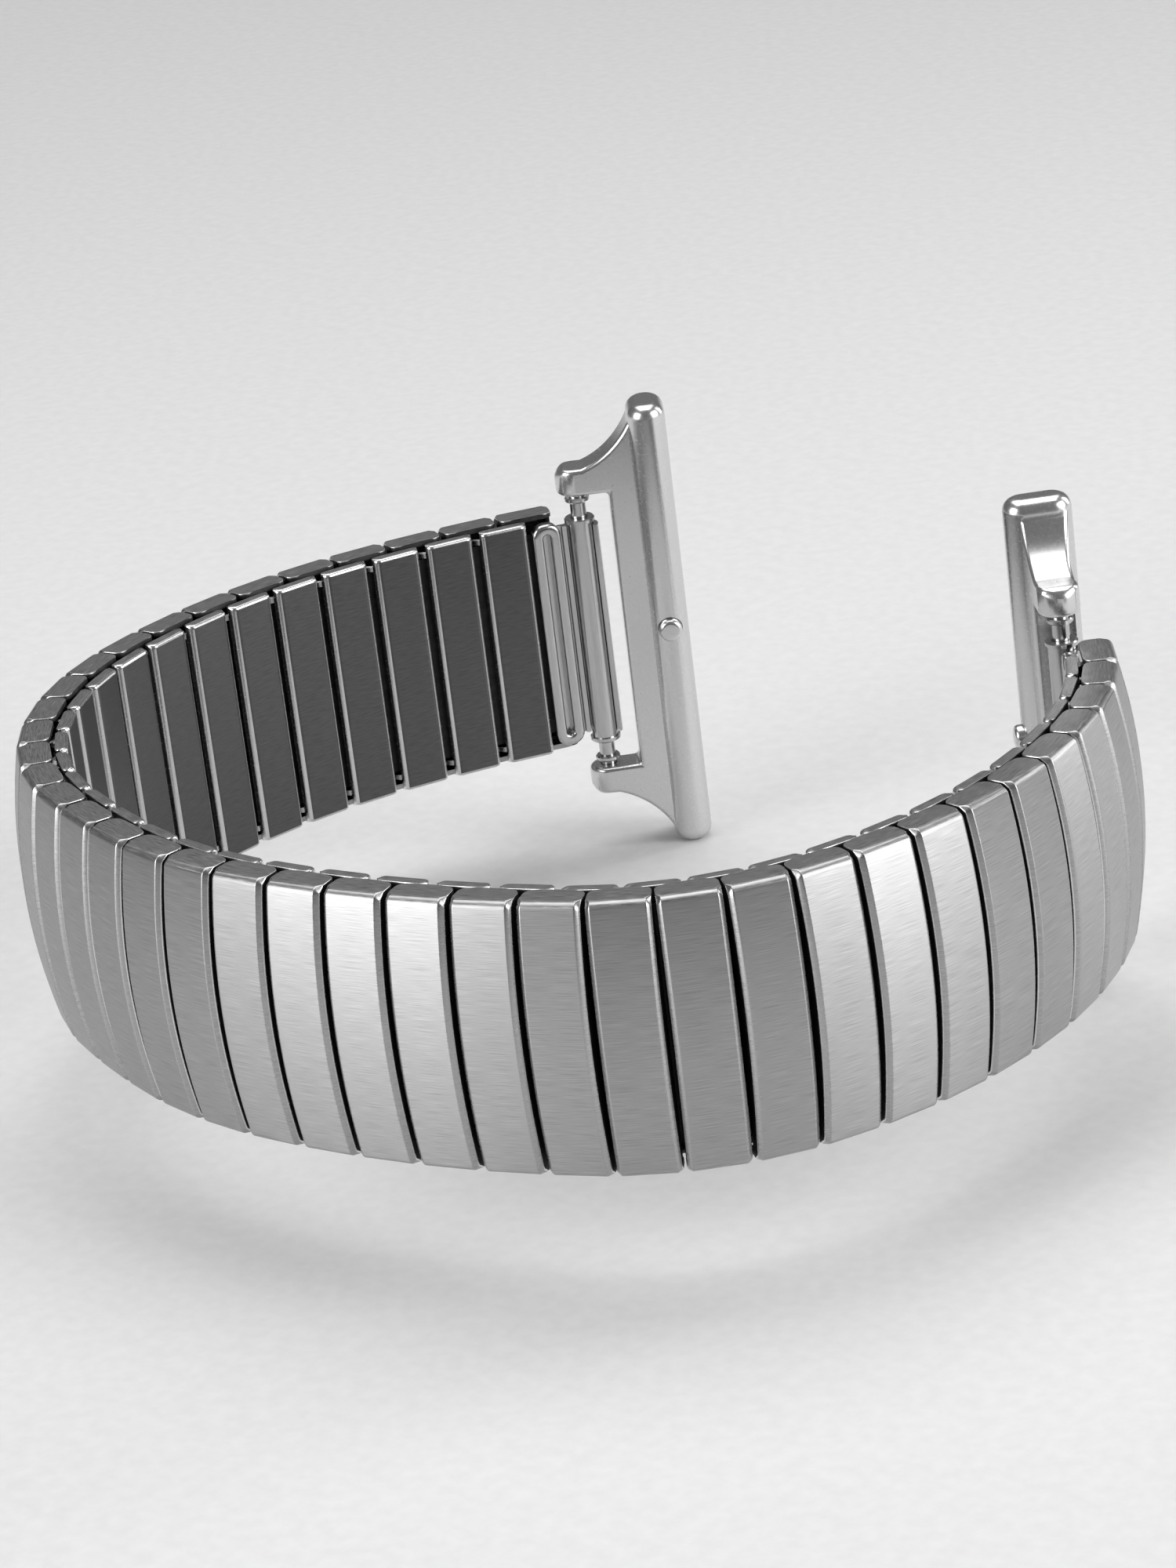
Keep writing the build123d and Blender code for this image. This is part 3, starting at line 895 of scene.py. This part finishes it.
def adapterShape():
    body = combined(adapterPlan(), adapterProfile(), "INTERSECT")
    flatAngle, sharpAngle = math.radians(adapter["flatAngle"]), math.radians(adapter["sharpAngle"])
    bmesh.ops.dissolve_limit(body, angle_limit=flatAngle, verts=body.verts, edges=body.edges)
    weld(body, doubles["plan"])
    sharp = [edge for edge in body.edges
             if len(edge.link_faces) == 2 and edge.calc_face_angle(0) > sharpAngle]
    roundEdges(body, sharp, adapter["edge"], 3)
    weld(body, doubles["edge"])
    body = combined(body, slideBarShape(), "UNION")
    earIn = adapter["earGap"] / 2
    start, end = earIn - overrun, earIn + adapter["holeDepth"]
    for side in (-1, 1):
        body = combined(body, rodShape(adapter["holeRadius"], start * side, end * side), "DIFFERENCE")
    top = slideBar["height"] / 2
    pocket = rodShape(button["radius"] + button["clearance"], top - button["pocket"], top + overrun)
    return combined(body, stoodOnBar(pocket), "DIFFERENCE")


def buttonShape():
    radius, crown = button["radius"], button["crown"]
    top = slideBar["height"] / 2 + button["proud"]
    foot = top - button["length"]
    dome = arcPoints((radius - crown, top - crown), crown, 0, 90, 4)
    return stoodOnBar(turnedShape([(0, foot), (radius, foot)] + dome + [(0, top)]))


for side, place in (
    ("left", leftPivot @ turned(-adapter["turns"]["left"])),
    ("right", rightPivot @ turned(adapter["turns"]["right"]) @ mirrored),
):
    piece = finishPiece(f"adapter_{side}_body", adapterShape(), ["polished"], place, f"adapter_{side}")
    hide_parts(f"adapter_{side}")
    piece = finishPiece(f"lockButton_{side}", buttonShape(), ["polished"], place, f"lock_button_{side}")
    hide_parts(f"lock_button_{side}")
print("adapters made")


# Floor, lights and camera

floorFinish = {"colour": 0.7, "shade": 0.02, "roughness": 0.9, "noiseScale": 900, "size": 1.6}


def makeFloor():
    bm = bmesh.new()
    bmesh.ops.create_grid(bm, x_segments=2, y_segments=2, size=floorFinish["size"])
    mesh = bpy.data.meshes.new("floor")
    bm.to_mesh(mesh)
    bm.free()
    colour, shade = floorFinish["colour"], floorFinish["shade"]
    material, nodes, links, shader = makeMaterial("palePaper", (colour,) * 3, floorFinish["roughness"], 0.0)
    coordinates = nodes.new("ShaderNodeTexCoord")
    noise = nodes.new("ShaderNodeTexNoise")
    noise.inputs["Scale"].default_value = floorFinish["noiseScale"]
    links.new(coordinates.outputs["Object"], noise.inputs["Vector"])
    tint(nodes, links, noise.outputs["Fac"], colour - shade, colour + shade, shader.inputs["Base Color"])
    mesh.materials.append(material)
    floor = placed(bpy.data.objects.new("floor", mesh))


# The camera's place comes from the photograph's perspective: turns in degrees, "offset" in millimetres from
# the eye to the start of the loop, right, down and ahead, and "focal" and "frameHeight" in pixels
camera = {
    "azimuth": 48.684, "elevation": 21.524, "roll": 7.066, "offset": (33.261, -1.239, 321.94),
    "focal": 6575.4, "frameHeight": 2000, "sensor": 36, "nearest": 0.01, "farthest": 10,
}


def makeCamera():
    azimuth, elevation, roll = [math.radians(camera[key]) for key in ("azimuth", "elevation", "roll")]
    right = Vector((math.cos(azimuth), math.sin(azimuth), 0))
    level = Vector((-math.sin(azimuth), math.cos(azimuth), 0))
    down = -math.sin(elevation) * level - math.cos(elevation) * Vector((0, 0, 1))
    look = math.cos(elevation) * level - math.sin(elevation) * Vector((0, 0, 1))
    imageRight = math.cos(roll) * right + math.sin(roll) * down
    imageDown = -math.sin(roll) * right + math.cos(roll) * down
    turn = Matrix((imageRight, imageDown, look))
    place = intoFrame @ (-(turn.transposed() @ Vector(camera["offset"])))
    data = bpy.data.cameras.new("camera")
    data.sensor_fit = "AUTO"
    data.sensor_width = camera["sensor"]
    data.lens = camera["focal"] / camera["frameHeight"] * data.sensor_width
    data.clip_start, data.clip_end = camera["nearest"], camera["farthest"]
    eye = placed(bpy.data.objects.new("camera", data))
    axes = Matrix((imageRight, -imageDown, -look)).transposed().to_4x4()
    eye.matrix_world = Matrix.Translation(place) @ axes
    bpy.context.scene.camera = eye


# Soft boxes stand round the loop, with lengths in metres: "turn" counts from the camera's side, to the right
# as the camera sees it
lamps = [
    {"name": "rightBox", "turn": 64, "elevation": 22, "distance": 0.55, "width": 0.36, "height": 0.42,
     "power": 0.5, "spread": 80},
    {"name": "leftBox", "turn": -62, "elevation": 22, "distance": 0.55, "width": 0.36, "height": 0.42,
     "power": 0.5, "spread": 80},
    {"name": "sideBox", "turn": 114, "elevation": 20, "distance": 0.55, "width": 0.14, "height": 0.42,
     "power": 0.15, "spread": 80},
    {"name": "overhead", "turn": 180, "elevation": 75, "distance": 1.4, "width": 1.3, "height": 1.3,
     "power": 13.5, "spread": 180},
]
lampTarget = (0, 0, 0.016)
worldGrey = 0.16


def makeLamps():
    for lamp in lamps:
        heading = math.radians(camera["azimuth"] - 90 + lamp["turn"])
        rise = math.radians(lamp["elevation"])
        level = math.cos(rise)
        away = Vector((math.cos(heading) * level, math.sin(heading) * level, math.sin(rise)))
        data = bpy.data.lights.new(lamp["name"], "AREA")
        data.shape = "RECTANGLE"
        data.size, data.size_y = lamp["width"], lamp["height"]
        data.energy = lamp["power"]
        data.spread = math.radians(lamp["spread"])
        box = placed(bpy.data.objects.new(lamp["name"], data))
        turn = away.to_track_quat("Z", "Y").to_matrix().to_4x4()
        box.matrix_world = Matrix.Translation(Vector(lampTarget) + away * lamp["distance"]) @ turn


def makeWorld():
    world = bpy.data.worlds.new("studio")
    bpy.context.scene.world = world
    world.use_nodes = True
    background = world.node_tree.nodes["Background"]
    background.inputs["Color"].default_value = (worldGrey, worldGrey, worldGrey, 1)
    background.inputs["Strength"].default_value = 1


makeFloor()
makeCamera()
makeLamps()
makeWorld()
bpy.context.scene.view_settings.view_transform = "Standard"
print("stage, camera and lamps made")
